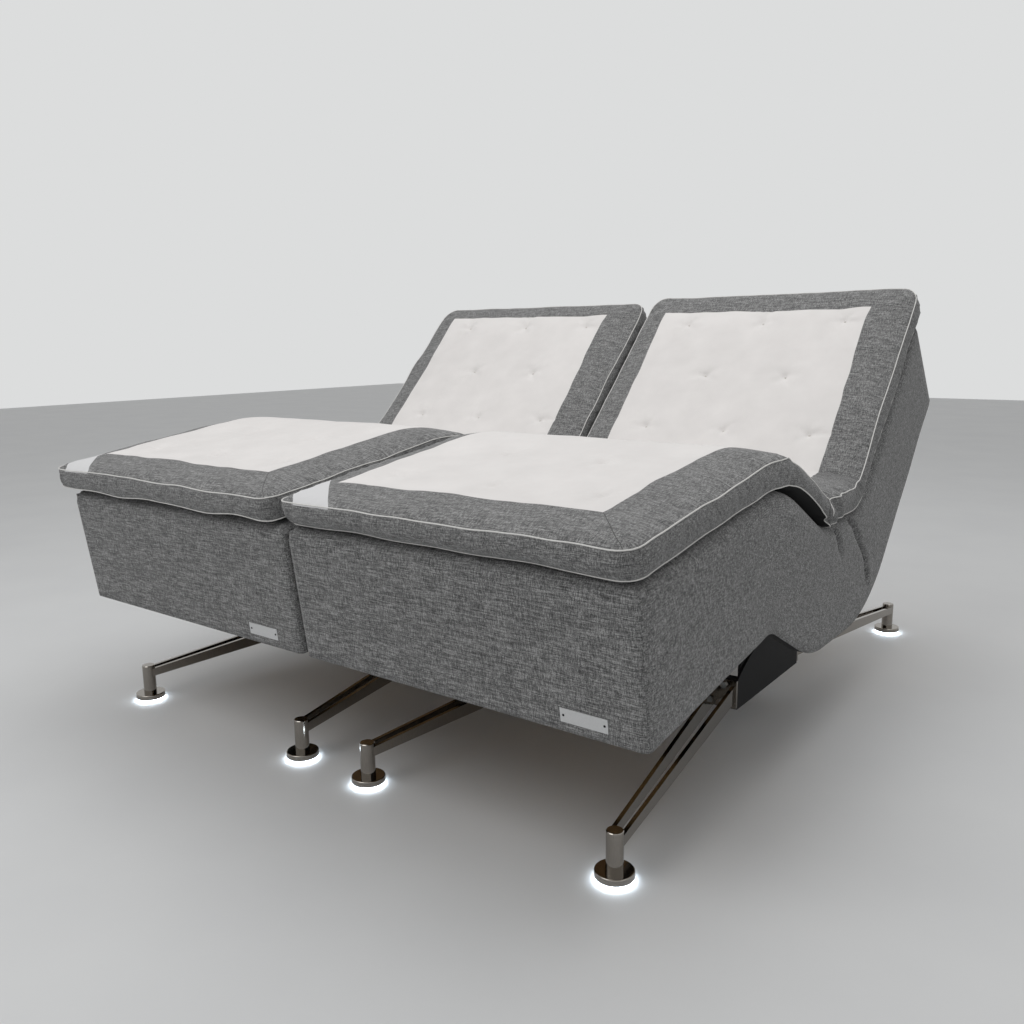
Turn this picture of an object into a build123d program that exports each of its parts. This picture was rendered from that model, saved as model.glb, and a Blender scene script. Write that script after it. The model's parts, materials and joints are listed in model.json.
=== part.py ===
"""Pair of adjustable bed units that stand side by side, each with a raised back, thigh and foot section.

X runs across the pair, Y from the foot end to the head end and Z up from the floor. The sections are
drawn where they stand with the back and legs partly raised.
"""
import os
from math import acos, cos, pi, radians, sin, sqrt, tan
from build123d import *

os.makedirs("parts", exist_ok=True)

# Bed units, in millimetres
body_width = 888
unit_gap = 12
unit_pitch = body_width + unit_gap
body_height = 312
foot_length = 600
thigh_length = 310
seat_length = 360
back_length = 745
underside_height = 255
body_corner = 20

# Section angles, in degrees: where they stand, and how far they rise
back_rest = 45
back_top = 60
thigh_rest = 27
thigh_top = 35
foot_drop = 8
wedge_spare = 0.3

# Topper that lies on the four sections
topper_proud = 3
topper_width = body_width + 2 * topper_proud
topper_height = 75
topper_crown = 9
crown_flat = 320
topper_waist = 4
topper_corner = 35
foot_overhang = 16
head_overhang = 45
tuft_pitch = 260
tuft_ball = 30
tuft_depth = 9
back_tuft_rows = {690: 3, 467: 2, 255: 3}
thigh_tuft_rows = {-190: 3}
foot_tuft_rows = {-400: 3, -185: 2}
seat_tuft_rows = {150: 2}

# Nested round ends of the sections at a hinge that opens
nest_step = 5
nest_clearance = 1

# Boards of a section
panel_thickness = 22
panel_joint = 0.3
deck_thickness = 12
deck_setback = 40

# Flat steel arms under the decks
arm_height = 40
arm_thickness = 10
arm_setback = 60
eye_radius = 16
hinge_relief = 6
side_gap = 2

# Hinge pins and links
pin_radius = 8
pin_head_radius = 13
pin_head_length = 4
running_clearance = 0.08
link_pin_radius = 7
link_thickness = 8
link_eye_radius = 15
link_play = 1.5
link_gap = 1
link_foot_y = -20
link_foot_z = -90
link_root_y = -4.2
link_root_z = -122.4

# Chassis
chassis_width = 540
chassis_floor_gap = 85
chassis_front_reach = 57
chassis_rear_reach = 10
side_plate_thickness = 6
side_plate_end = 80
side_plate_arch = 70
beam_height = 80
beam_depth = 25
beam_wall = 3
beam_setback = 30
seat_beam_height = 40
drive_beam_depth = 40
drive_beam_z = 190
tower_thickness = 8
tower_foot_z = 100
tower_edge = 27
tower_inner_edge = 60
tower_lean = 90
tower_lean_foot = 20
tower_lean_z = 300

# Lift levers and the twin drive that pushes them
lever_radius = 116
lever_nose = 12
lever_thickness = 12
lever_tube_radius = 14
lever_tube_y = 60
lever_boss = 20
drive_width = 104
drive_height = 115
drive_end_gap = 4
rod_radius = 13
rod_offset = 24
rod_grip = 45
push_plate_thickness = 8
push_plate_width = 80
push_plate_height = 60
push_clearance = 0.3
motor_radius = 32
motor_length = 70
box_width = 120
box_length = 110
box_height = 55
box_offset = 160
inlet_width = 27
inlet_height = 20
inlet_depth = 18

# Legs and feet
feet_track = 668
feet_base = 1861
feet_setback = 775
glide_radius = 30
glide_height = 9
ring_outer_radius = 38
ring_inner_radius = 31
ring_floor_gap = 2
disc_radius = 40
disc_thickness = 13.5
disc_edge = 3
post_radius = 17.5
post_height = 81.5
post_edge = 1.5
bar_thickness = 9
bar_post_height = 22
bar_post_drop = 10
bar_post_spacing = 25
bar_bracket_height = 45
bar_bracket_spacing = 47
bracket_width = 68
bracket_height = 73
bracket_thickness = 8
bracket_floor_gap = 90
bolt_radius = 5
bolt_head_radius = 9
bolt_head_height = 6.4
bolt_spacing = 43
joining_bar_height = 40
joining_bar_thickness = 8
joining_bar_spacing = 200

# Blank plate on the foot end
plate_width = 102
plate_height = 29
plate_thickness = 1.5
plate_x = 313
plate_floor_edge = 20

# Places worked out from the sizes above
half_height = body_height / 2
topper_top = half_height + topper_height
hinge_z = underside_height + half_height
knee_ratio = (thigh_rest + foot_drop) / thigh_rest
knee_top = thigh_top * knee_ratio
hip_slope = tan(radians(thigh_top / 2 + wedge_spare))
back_slope = tan(radians(back_top / 2 + wedge_spare))
knee_slope = tan(radians(knee_top / 2 + wedge_spare))
foot_reach = (
    thigh_length * cos(radians(thigh_rest))
    + (foot_length + foot_overhang) * cos(radians(foot_drop))
    + (topper_top - topper_crown) * sin(radians(foot_drop))
)
head_reach = feet_base - feet_setback + disc_radius
hip_y = (foot_reach - head_reach) / 2
back_y = hip_y + seat_length
knee_y = hip_y - thigh_length * cos(radians(thigh_rest))
knee_z = hinge_z + thigh_length * sin(radians(thigh_rest))
front_feet_y = hip_y - feet_setback
rear_feet_y = front_feet_y + feet_base
chassis_front = hip_y - chassis_front_reach
chassis_rear = back_y + chassis_rear_reach
chassis_middle = (chassis_front + chassis_rear) / 2
nest_radius = half_height - nest_step
topper_nest = topper_top - nest_step
deck_width = body_width - 2 * panel_thickness
arm_top = -deck_thickness
arm_bottom = arm_top - arm_height
side_plate_inner = chassis_width / 2 - side_plate_thickness
tower_inner = side_plate_inner - tower_thickness
arm_inner = side_plate_inner + side_gap
arm_outer = arm_inner + arm_thickness
foot_arm_inner = arm_outer + side_gap
foot_arm_outer = foot_arm_inner + arm_thickness
link_inner = foot_arm_outer + link_gap
link_outer = link_inner + link_thickness
relief_half = link_outer + side_gap
relief_radius = sqrt(eye_radius**2 + deck_thickness**2) + hinge_relief
disc_bottom = glide_height
post_bottom = disc_bottom + disc_thickness
post_top = post_bottom + post_height
drive_z = drive_beam_z + seat_beam_height
rod_z = hinge_z - lever_radius
back_swing = radians(back_top / 2)
thigh_swing = radians(thigh_top / 2)
units = {"left": -unit_pitch / 2, "right": unit_pitch / 2}
sides = (-1, 1)


def push_lag(swing):
    """How far a pusher at constant speed strays from a lever tip that swings this far either way."""
    slope = sin(swing) / swing
    return lever_radius * (sqrt(1 - slope**2) - slope * acos(slope))


def pusher_place(swing, angle):
    """How far past the hinge a pusher's face stands when its lever is at this angle from plumb."""
    speed = lever_radius * sin(swing) / swing
    return speed * angle - push_lag(swing) - push_clearance - lever_nose


def section_plane(x, y, z, tilt):
    """Plane of a section: x across the bed, y towards the head, z up off its deck."""
    angle = radians(tilt)
    return Plane(origin=(x, y, z), x_dir=(1, 0, 0), z_dir=(0, -sin(angle), cos(angle)))


def side_plane(section, across=0):
    """Upright plane along a section, for side profiles drawn in its y and z."""
    origin = section.from_local_coords((across, 0, 0))
    return Plane(origin=origin, x_dir=section.y_dir, z_dir=section.x_dir)


def end_plane(section):
    """Upright plane across a section, for profiles drawn in its x and z."""
    return Plane(origin=section.origin, x_dir=section.x_dir, z_dir=-section.y_dir)


def hinge_arc(y, radius, start, end):
    """Arc about the hinge at y in a side profile, between two angles in degrees."""
    angles = [radians(a) for a in (start, (start + end) / 2, end)]
    return ThreePointArc(*[(y + radius * cos(a), radius * sin(a)) for a in angles])


def angle_at(radius, z):
    """Angle, in degrees, at which an arc about a hinge reaches this height."""
    return 180 / pi * acos(sqrt(radius**2 - z**2) / radius)


def save(part, name):
    part.label = name
    export_step(part, f"parts/{name}.step")


planes = {}
for unit, x in units.items():
    planes[unit] = {
        "seat": section_plane(x, hip_y, hinge_z, 0),
        "back": section_plane(x, back_y, hinge_z, back_rest),
        "thigh": section_plane(x, hip_y, hinge_z, -thigh_rest),
        "foot": section_plane(x, knee_y, knee_z, foot_drop),
    }


# Side outlines of the padded cores, from deck level up
def seat_core_outline():
    Polyline(
        (panel_joint, 0),
        (panel_joint + half_height * hip_slope, half_height),
        (seat_length - panel_joint - half_height * back_slope, half_height),
        (seat_length - panel_joint, 0),
        close=True,
    )


def back_core_outline():
    Polyline(
        (panel_joint, 0),
        (panel_joint + half_height * back_slope, half_height),
        (back_length, half_height),
        (back_length, 0),
        close=True,
    )


def thigh_core_outline():
    hollow = nest_radius + nest_clearance
    Polyline(
        (hollow - thigh_length, 0),
        (-panel_joint, 0),
        (-panel_joint - half_height * hip_slope, half_height),
        (panel_joint - thigh_length, half_height),
        (panel_joint - thigh_length, sqrt(hollow**2 - panel_joint**2)),
    )
    hinge_arc(-thigh_length, hollow, 90 - 180 / pi * panel_joint / hollow, 0)


def foot_core_outline():
    low = angle_at(nest_radius, nest_clearance)
    Polyline(
        (0, nest_radius),
        (0, half_height),
        (-foot_length, half_height),
        (-foot_length, 0),
        (0, 0),
        (0, nest_clearance),
        (nest_radius * cos(radians(low)), nest_clearance),
    )
    hinge_arc(0, nest_radius, low, 90)


# Side outlines of the hanging side panels, from deck level down
def seat_panel_outline():
    low = angle_at(nest_radius, nest_clearance)
    reach = nest_radius * cos(radians(low))
    Polyline(
        (-reach, -nest_clearance),
        (0, -nest_clearance),
        (0, 0),
        (seat_length, 0),
        (seat_length, -nest_clearance),
        (seat_length + reach, -nest_clearance),
    )
    hinge_arc(seat_length, nest_radius, -low, -90)
    Polyline((seat_length, -nest_radius), (seat_length, -half_height), (0, -half_height), (0, -nest_radius))
    hinge_arc(0, nest_radius, -90, low - 180)


def back_panel_outline():
    hollow = nest_radius + nest_clearance
    Polyline(
        (hollow, 0),
        (back_length, 0),
        (back_length, -half_height),
        (panel_joint, -half_height),
        (panel_joint, -sqrt(hollow**2 - panel_joint**2)),
    )
    hinge_arc(0, hollow, 180 / pi * panel_joint / hollow - 90, 0)


def thigh_panel_outline():
    hollow = nest_radius + nest_clearance
    Polyline(
        (-hollow, 0),
        (panel_joint - thigh_length, 0),
        (panel_joint + half_height * knee_slope - thigh_length, -half_height),
        (-panel_joint, -half_height),
        (-panel_joint, -sqrt(hollow**2 - panel_joint**2)),
    )
    hinge_arc(0, hollow, -90 - 180 / pi * panel_joint / hollow, -180)


def foot_panel_outline():
    Polyline(
        (-panel_joint, 0),
        (-foot_length, 0),
        (-foot_length, -half_height),
        (-panel_joint - half_height * knee_slope, -half_height),
        close=True,
    )


# Side outlines of the topper's four lengths
def seat_topper_outline():
    Polyline(
        (panel_joint + half_height * hip_slope, half_height),
        (panel_joint + topper_top * hip_slope, topper_top),
        (seat_length - panel_joint - topper_top * back_slope, topper_top),
        (seat_length - panel_joint - half_height * back_slope, half_height),
        close=True,
    )


def back_topper_outline():
    end = back_length + head_overhang
    Polyline(
        (panel_joint + half_height * back_slope, half_height),
        (panel_joint + topper_top * back_slope, topper_top),
        (end, topper_top),
        (end, half_height),
        close=True,
    )


def thigh_topper_outline():
    hollow = topper_nest + nest_clearance
    low = angle_at(hollow, half_height)
    Polyline(
        (hollow * cos(radians(low)) - thigh_length, half_height),
        (-panel_joint - half_height * hip_slope, half_height),
        (-panel_joint - topper_top * hip_slope, topper_top),
        (panel_joint - thigh_length, topper_top),
        (panel_joint - thigh_length, sqrt(hollow**2 - panel_joint**2)),
    )
    hinge_arc(-thigh_length, hollow, 90 - 180 / pi * panel_joint / hollow, low)


def foot_topper_outline():
    low = angle_at(topper_nest, half_height + nest_clearance)
    end = -foot_length - foot_overhang
    Polyline(
        (0, topper_nest),
        (0, topper_top),
        (end, topper_top),
        (end, half_height),
        (0, half_height),
        (0, half_height + nest_clearance),
        (topper_nest * cos(radians(low)), half_height + nest_clearance),
    )
    hinge_arc(0, topper_nest, low, 90)


def reach_of(section):
    """Lowest and highest y of a section's body, with its round end."""
    return {
        "seat": (0, seat_length),
        "back": (0, back_length),
        "thigh": (-thigh_length, 0),
        "foot": (-foot_length, nest_radius),
    }[section]


def hinges_of(section):
    """Places of a section's hinges along its own y."""
    return {"seat": (0, seat_length), "back": (0,), "thigh": (0, -thigh_length), "foot": (0,)}[section]


core_outlines = {
    "seat": seat_core_outline,
    "back": back_core_outline,
    "thigh": thigh_core_outline,
    "foot": foot_core_outline,
}
panel_outlines = {
    "seat": seat_panel_outline,
    "back": back_panel_outline,
    "thigh": thigh_panel_outline,
    "foot": foot_panel_outline,
}
topper_outlines = {
    "seat": seat_topper_outline,
    "back": back_topper_outline,
    "thigh": thigh_topper_outline,
    "foot": foot_topper_outline,
}
tuft_rows = {
    "seat": seat_tuft_rows,
    "back": back_tuft_rows,
    "thigh": thigh_tuft_rows,
    "foot": foot_tuft_rows,
}


def make_core(section, plane):
    """Spring core of a section: rounded upper edges, with room for the hinge eyes below."""
    low, high = reach_of(section)
    with BuildPart() as core:
        with BuildSketch(side_plane(plane)):
            with BuildLine():
                core_outlines[section]()
            make_face()
        extrude(amount=body_width / 2, both=True)
        with BuildSketch(end_plane(plane)) as rounded:
            with Locations((0, half_height / 2)):
                Rectangle(body_width, half_height)
            fillet(rounded.vertices().group_by(Axis.Y)[-1], body_corner)
        extrude(amount=high - low + foot_length, both=True, mode=Mode.INTERSECT)
        with BuildSketch(plane) as plan:
            with Locations((0, (low + high) / 2)):
                Rectangle(body_width, high - low)
            if section == "foot":
                fillet(plan.vertices().group_by(Axis.Y)[0], body_corner)
            if section == "back":
                fillet(plan.vertices().group_by(Axis.Y)[-1], body_corner)
        extrude(amount=half_height, mode=Mode.INTERSECT)
        with BuildSketch(side_plane(plane, -relief_half)):
            with Locations(*[(y, 0) for y in hinges_of(section)]):
                Circle(relief_radius)
        extrude(amount=2 * relief_half, mode=Mode.SUBTRACT)
    return core.part


def make_side_panels(section, plane):
    """Upholstered boards that hang at the two long sides, and at the free end of an end section."""
    low, high = reach_of(section)
    with BuildPart() as panels:
        for side in sides:
            inner = body_width / 2 - panel_thickness
            start = inner if side > 0 else -body_width / 2
            with BuildSketch(side_plane(plane, start)):
                with BuildLine():
                    panel_outlines[section]()
                make_face()
            extrude(amount=panel_thickness)
        if section in ("foot", "back"):
            end = low + panel_thickness / 2 if section == "foot" else high - panel_thickness / 2
            with BuildSketch(plane):
                with Locations((0, end)):
                    Rectangle(deck_width - 2 * panel_joint, panel_thickness)
            extrude(amount=-half_height)
            outer = low if section == "foot" else high
            corners = [
                edge
                for edge in panels.edges().filter_by(GeomType.LINE)
                if abs(abs(plane.to_local_coords(edge.center()).X) - body_width / 2) < panel_joint
                and abs(plane.to_local_coords(edge.center()).Y - outer) < panel_joint
                and abs(edge.length - half_height) < panel_joint
            ]
            fillet(corners, body_corner)
    return panels.part


def make_deck(section, plane):
    """Plywood deck between the side panels, short of the hinges."""
    ends = {
        "seat": (deck_setback, seat_length - deck_setback),
        "back": (deck_setback, back_length - panel_thickness),
        "thigh": (deck_setback - thigh_length, -deck_setback),
        "foot": (panel_thickness - foot_length, -deck_setback),
    }[section]
    with BuildPart() as deck:
        with BuildSketch(plane):
            with Locations((0, sum(ends) / 2)):
                Rectangle(deck_width, ends[1] - ends[0])
        extrude(amount=-deck_thickness)
    return deck.part


def make_topper(section, plane):
    """Length of the topper: crowned, drawn in along its sides, and tufted."""
    edge_top = topper_top - topper_crown
    middle = (half_height + edge_top) / 2
    side = topper_width / 2
    length = foot_length + back_length
    with BuildPart() as topper:
        with BuildSketch(side_plane(plane)):
            with BuildLine():
                topper_outlines[section]()
            make_face()
        extrude(amount=side, both=True)
        with BuildSketch(end_plane(plane)):
            with BuildLine():
                Line((-side, half_height), (side, half_height))
                ThreePointArc((side, half_height), (side - topper_waist, middle), (side, edge_top))
                TangentArc((crown_flat, topper_top), (side, edge_top), tangent=(1, 0))
                Line((-crown_flat, topper_top), (crown_flat, topper_top))
                TangentArc((-crown_flat, topper_top), (-side, edge_top), tangent=(-1, 0))
                ThreePointArc((-side, edge_top), (topper_waist - side, middle), (-side, half_height))
            make_face()
        extrude(amount=length, both=True, mode=Mode.INTERSECT)
        if section in ("foot", "back"):
            outer = -foot_length - foot_overhang if section == "foot" else back_length + head_overhang
            inner = topper_nest if section == "foot" else 0
            with BuildSketch(plane.offset(half_height)) as plan:
                with Locations((0, (outer + inner) / 2)):
                    Rectangle(topper_width + topper_waist, abs(outer - inner))
                fillet(plan.vertices().group_by(Axis.Y)[0 if section == "foot" else -1], topper_corner)
            extrude(amount=topper_height, mode=Mode.INTERSECT)
        ball_z = topper_top + tuft_ball - tuft_depth
        spots = [
            plane.location * Location(((i - (count - 1) / 2) * tuft_pitch, y, ball_z))
            for y, count in tuft_rows[section].items()
            for i in range(count)
        ]
        with Locations(*spots):
            Sphere(tuft_ball, mode=Mode.SUBTRACT)
    return topper.part


def make_arms(section, plane):
    """Pair of flat steel arms under a deck, with hinge eyes that rise to the hinge line."""
    low, high = {
        "back": (-eye_radius, back_length - arm_setback),
        "thigh": (-thigh_length - eye_radius, eye_radius),
        "foot": (arm_setback - foot_length, eye_radius),
    }[section]
    inner = foot_arm_inner if section == "foot" else arm_inner
    with BuildPart() as arms:
        for side in sides:
            start = inner if side > 0 else -inner - arm_thickness
            with BuildSketch(side_plane(plane, start)):
                with Locations(((low + high) / 2, (arm_top + arm_bottom) / 2)):
                    Rectangle(high - low, arm_height)
                for y in hinges_of(section):
                    with Locations((y, arm_bottom / 2)):
                        Rectangle(2 * eye_radius, -arm_bottom)
                    with Locations((y, 0)):
                        Circle(eye_radius)
                if section == "foot":
                    with Locations((link_foot_y, (link_foot_z + arm_bottom) / 2)):
                        Rectangle(2 * link_eye_radius, arm_bottom - link_foot_z)
                    with Locations((link_foot_y, link_foot_z)):
                        Circle(link_eye_radius)
                with Locations((0, 0)):
                    Circle(pin_radius + running_clearance, mode=Mode.SUBTRACT)
            extrude(amount=arm_thickness)
            if section == "thigh":
                stud_length = foot_arm_outer - arm_outer
                with BuildSketch(side_plane(plane, arm_outer if side > 0 else -foot_arm_outer)):
                    with Locations((-thigh_length, 0)):
                        Circle(pin_radius)
                extrude(amount=stud_length)
            if section == "foot":
                with BuildSketch(side_plane(plane, foot_arm_outer if side > 0 else -link_outer - link_gap)):
                    with Locations((link_foot_y, link_foot_z)):
                        Circle(link_pin_radius)
                extrude(amount=link_outer + link_gap - foot_arm_outer)
    return arms.part


def make_lever(plane, toward_head, plumb):
    """Cross tube of a lifted section, with the lever that the drive pushes welded to its middle.

    toward_head is 1 for the back and -1 for the thigh, and plumb is the lever's lean at the flat pose.
    """
    tube = (toward_head * lever_tube_y, arm_top - lever_boss)
    tip = (-toward_head * lever_radius * sin(plumb), -lever_radius * cos(plumb))
    with BuildPart() as lever:
        with BuildSketch(side_plane(plane, -lever_thickness / 2)):
            with Locations(tube):
                Circle(lever_boss)
            with Locations(tip):
                Circle(lever_nose)
            make_hull()
        extrude(amount=lever_thickness)
        with BuildSketch(side_plane(plane, -arm_inner)):
            with Locations(tube):
                Circle(lever_tube_radius)
        extrude(amount=2 * arm_inner)
    return lever.part


def make_pusher(plane, toward_head, hinge, face, stroke):
    """Push plate and rod of the drive, facing a lever. face is the plate's place past the hinge line."""
    front = hinge + toward_head * face
    rod_length = stroke + rod_grip
    facing = Plane(
        origin=(plane.origin.X, front, rod_z),
        x_dir=(toward_head, 0, 0),
        z_dir=(0, -toward_head, 0),
    )
    with BuildPart() as pusher:
        with BuildSketch(facing):
            Rectangle(push_plate_width, push_plate_height)
        extrude(amount=push_plate_thickness)
        with BuildSketch(facing.offset(push_plate_thickness)):
            with Locations((-rod_offset, 0)):
                Circle(rod_radius)
        extrude(amount=rod_length)
    return pusher.part


# Padded sections, boards, arms and levers that move
back_stroke = 2 * lever_radius * sin(back_swing)
thigh_stroke = 2 * lever_radius * sin(thigh_swing)
for unit, places in planes.items():
    for section in ("back", "thigh", "foot"):
        plane = places[section]
        save(make_core(section, plane), f"{unit}_{section}_core")
        save(make_side_panels(section, plane), f"{unit}_{section}_side_panels")
        save(make_deck(section, plane), f"{unit}_{section}_deck")
        save(make_topper(section, plane), f"{unit}_{section}_topper")
        save(make_arms(section, plane), f"{unit}_{section}_arms")
    save(make_lever(places["back"], 1, back_swing), f"{unit}_back_lever")
    save(make_lever(places["thigh"], -1, thigh_swing), f"{unit}_thigh_lever")
    back_face = pusher_place(back_swing, radians(back_rest - back_top / 2))
    thigh_face = pusher_place(thigh_swing, radians(thigh_rest - thigh_top / 2))
    save(make_pusher(places["seat"], 1, back_y, back_face, back_stroke), f"{unit}_back_pusher")
    save(make_pusher(places["seat"], -1, hip_y, thigh_face, thigh_stroke), f"{unit}_leg_pusher")


# Links that set the foot section's angle: from the chassis to the lug under the foot arms
for unit, places in planes.items():
    foot = places["foot"]
    tail = foot.from_local_coords((0, link_foot_y, link_foot_z))
    link_root = Plane(
        origin=(units[unit], hip_y + link_root_y, hinge_z + link_root_z),
        x_dir=(0, 1, 0),
        z_dir=(1, 0, 0),
    )
    tail_y, tail_z = tail.Y - link_root.origin.Y, tail.Z - link_root.origin.Z
    with BuildPart() as links:
        for side in sides:
            with BuildSketch(link_root.offset(link_inner if side > 0 else -link_outer)):
                with Locations((0, 0), (tail_y, tail_z)):
                    Circle(link_eye_radius)
                make_hull()
                with Locations((0, 0)):
                    Circle(link_pin_radius + running_clearance, mode=Mode.SUBTRACT)
                with Locations((tail_y, tail_z)):
                    Circle(link_pin_radius + link_play, mode=Mode.SUBTRACT)
            extrude(amount=link_thickness)
    save(links.part, f"{unit}_foot_links")


# Blank plate low on the foot end
for unit, places in planes.items():
    foot_end = end_plane(places["foot"]).offset(foot_length)
    with BuildPart() as plate:
        with BuildSketch(foot_end):
            with Locations((plate_x, plate_floor_edge + plate_height / 2 - half_height)):
                Rectangle(plate_width, plate_height)
        extrude(amount=plate_thickness)
    save(plate.part, f"{unit}_name_plate")


# Seat sections, which stand still on the chassis
with BuildPart() as seat_cores:
    for unit in units:
        add(make_core("seat", planes[unit]["seat"]))
save(seat_cores.part, "seat_cores")

with BuildPart() as seat_side_panels:
    for unit in units:
        add(make_side_panels("seat", planes[unit]["seat"]))
save(seat_side_panels.part, "seat_side_panels")

with BuildPart() as seat_decks:
    for unit in units:
        add(make_deck("seat", planes[unit]["seat"]))
save(seat_decks.part, "seat_decks")

with BuildPart() as seat_toppers:
    for unit in units:
        add(make_topper("seat", planes[unit]["seat"]))
save(seat_toppers.part, "seat_toppers")


# Chassis: arched side plates joined by box beams, with towers up to the hinges
side_plate_top = chassis_floor_gap + side_plate_end
with BuildPart() as chassis_side_plates:
    for x in units.values():
        for side in sides:
            start = x + (side_plate_inner if side > 0 else -chassis_width / 2)
            with BuildSketch(Plane.YZ.offset(start)):
                with BuildLine():
                    Polyline(
                        (chassis_front, side_plate_top),
                        (chassis_front, chassis_floor_gap),
                        (chassis_rear, chassis_floor_gap),
                        (chassis_rear, side_plate_top),
                    )
                    ThreePointArc(
                        (chassis_rear, side_plate_top),
                        (chassis_middle, side_plate_top + side_plate_arch),
                        (chassis_front, side_plate_top),
                    )
                make_face()
            extrude(amount=side_plate_thickness)
save(chassis_side_plates.part, "chassis_side_plates")

seat_beam_top = hinge_z - deck_thickness
bracket_z = bracket_floor_gap + bracket_height / 2
bracket_x = chassis_width / 2 - bracket_width / 2
bracket_places = [
    (x + side * bracket_x, end)
    for x in units.values()
    for side in sides
    for end in (-1, 1)
]
bolt_heights = (bracket_z - bolt_spacing / 2, bracket_z + bolt_spacing / 2)
low_beam_z = chassis_floor_gap + beam_height / 2
seat_beam_z = seat_beam_top - seat_beam_height / 2
seat_beam_reach = beam_setback + beam_depth / 2
beams = [
    (chassis_front + beam_depth / 2, low_beam_z, beam_depth, beam_height, side_plate_inner),
    (chassis_rear - beam_depth / 2, low_beam_z, beam_depth, beam_height, side_plate_inner),
    (chassis_middle, drive_z - seat_beam_height / 2, drive_beam_depth, seat_beam_height, side_plate_inner),
    (hip_y + seat_beam_reach, seat_beam_z, beam_depth, seat_beam_height, tower_inner),
    (back_y - seat_beam_reach, seat_beam_z, beam_depth, seat_beam_height, tower_inner),
]
with BuildPart() as chassis_cross_beams:
    for x in units.values():
        for y, z, depth, height, half_length in beams:
            with BuildSketch(Plane.YZ.offset(x - half_length)):
                with Locations((y, z)):
                    Rectangle(depth, height)
                    Rectangle(depth - 2 * beam_wall, height - 2 * beam_wall, mode=Mode.SUBTRACT)
            extrude(amount=2 * half_length)
    for x, end in bracket_places:
        face = chassis_front if end < 0 else chassis_rear
        with BuildSketch(Plane(origin=(x, face, 0), x_dir=(1, 0, 0), z_dir=(0, end, 0))):
            with Locations(*[(0, -end * z) for z in bolt_heights]):
                Circle(bolt_radius)
        extrude(amount=-beam_wall, mode=Mode.SUBTRACT)
save(chassis_cross_beams.part, "chassis_cross_beams")

tower_top = seat_beam_top - panel_joint
with BuildPart() as hinge_towers:
    for x in units.values():
        for side in sides:
            start = x + (tower_inner if side > 0 else -side_plate_inner)
            with BuildSketch(Plane.YZ.offset(start)):
                with BuildLine():
                    Polyline(
                        (hip_y - tower_edge, tower_foot_z),
                        (hip_y + tower_inner_edge, tower_foot_z),
                        (hip_y + tower_inner_edge, tower_top),
                        (hip_y - tower_edge, tower_top),
                        close=True,
                    )
                make_face()
                with Locations((hip_y, hinge_z)):
                    Circle(eye_radius)
                    Circle(pin_radius, mode=Mode.SUBTRACT)
                with Locations((hip_y + link_root_y, hinge_z + link_root_z)):
                    Circle(link_pin_radius, mode=Mode.SUBTRACT)
            extrude(amount=tower_thickness)
            with BuildSketch(Plane.YZ.offset(start)):
                with BuildLine():
                    Polyline(
                        (back_y - tower_lean, tower_foot_z),
                        (back_y - tower_lean_foot, tower_foot_z),
                        (back_y - tower_lean_foot, tower_lean_z),
                        (back_y + tower_edge, tower_lean_z + tower_edge + tower_lean_foot),
                        (back_y + tower_edge, tower_top),
                        (back_y - tower_inner_edge, tower_top),
                        (back_y - tower_lean, tower_top - tower_lean + tower_inner_edge),
                        close=True,
                    )
                make_face()
                with Locations((back_y, hinge_z)):
                    Circle(eye_radius)
                    Circle(pin_radius, mode=Mode.SUBTRACT)
            extrude(amount=tower_thickness)
save(hinge_towers.part, "hinge_towers")

with BuildPart() as hinge_pins:
    for x in units.values():
        for side in sides:
            seat_face = Plane(origin=(x + side * tower_inner, 0, 0), x_dir=(0, side, 0), z_dir=(side, 0, 0))
            hinge_spots = [(side * hip_y, hinge_z), (side * back_y, hinge_z)]
            link_spot = (side * (hip_y + link_root_y), hinge_z + link_root_z)
            with BuildSketch(seat_face):
                with Locations(*hinge_spots):
                    Circle(pin_radius)
            extrude(amount=arm_outer + panel_joint - tower_inner)
            with BuildSketch(seat_face.offset(arm_outer + panel_joint - tower_inner)):
                with Locations(*hinge_spots):
                    Circle(pin_head_radius)
            extrude(amount=pin_head_length)
            with BuildSketch(seat_face):
                with Locations(link_spot):
                    Circle(link_pin_radius)
            extrude(amount=link_outer + panel_joint - tower_inner)
            with BuildSketch(seat_face.offset(link_outer + panel_joint - tower_inner)):
                with Locations(link_spot):
                    Circle(pin_head_radius)
            extrude(amount=pin_head_length)
save(hinge_pins.part, "hinge_pins")


# Twin drive that pushes both levers, with its control box beside it
drive_front = hip_y - pusher_place(thigh_swing, -thigh_swing) + push_plate_thickness + drive_end_gap
drive_rear = back_y + pusher_place(back_swing, -back_swing) - push_plate_thickness - drive_end_gap
back_bore = back_stroke + rod_grip + drive_end_gap
thigh_bore = thigh_stroke + rod_grip + drive_end_gap
with BuildPart() as drive_housings:
    for x in units.values():
        with BuildSketch(Plane.XY.offset(drive_z)) as footprint:
            with Locations((x, (drive_front + drive_rear) / 2)):
                Rectangle(drive_width, drive_rear - drive_front)
            fillet(footprint.vertices(), body_corner)
        extrude(amount=drive_height)
        with BuildSketch(Plane.XZ.offset(-drive_rear)):
            with Locations((x - rod_offset, rod_z)):
                Circle(rod_radius + running_clearance)
        extrude(amount=back_bore, mode=Mode.SUBTRACT)
        with BuildSketch(Plane.XZ.offset(-drive_front)):
            with Locations((x + rod_offset, rod_z)):
                Circle(rod_radius + running_clearance)
        extrude(amount=-thigh_bore, mode=Mode.SUBTRACT)
        motor_y = drive_beam_depth / 2 + motor_radius + drive_end_gap
        with BuildSketch(Plane.XY.offset(drive_z)):
            with Locations((x, chassis_middle - motor_y), (x, chassis_middle + motor_y)):
                Circle(motor_radius)
        extrude(amount=-motor_length)
save(drive_housings.part, "drive_housings")

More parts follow.
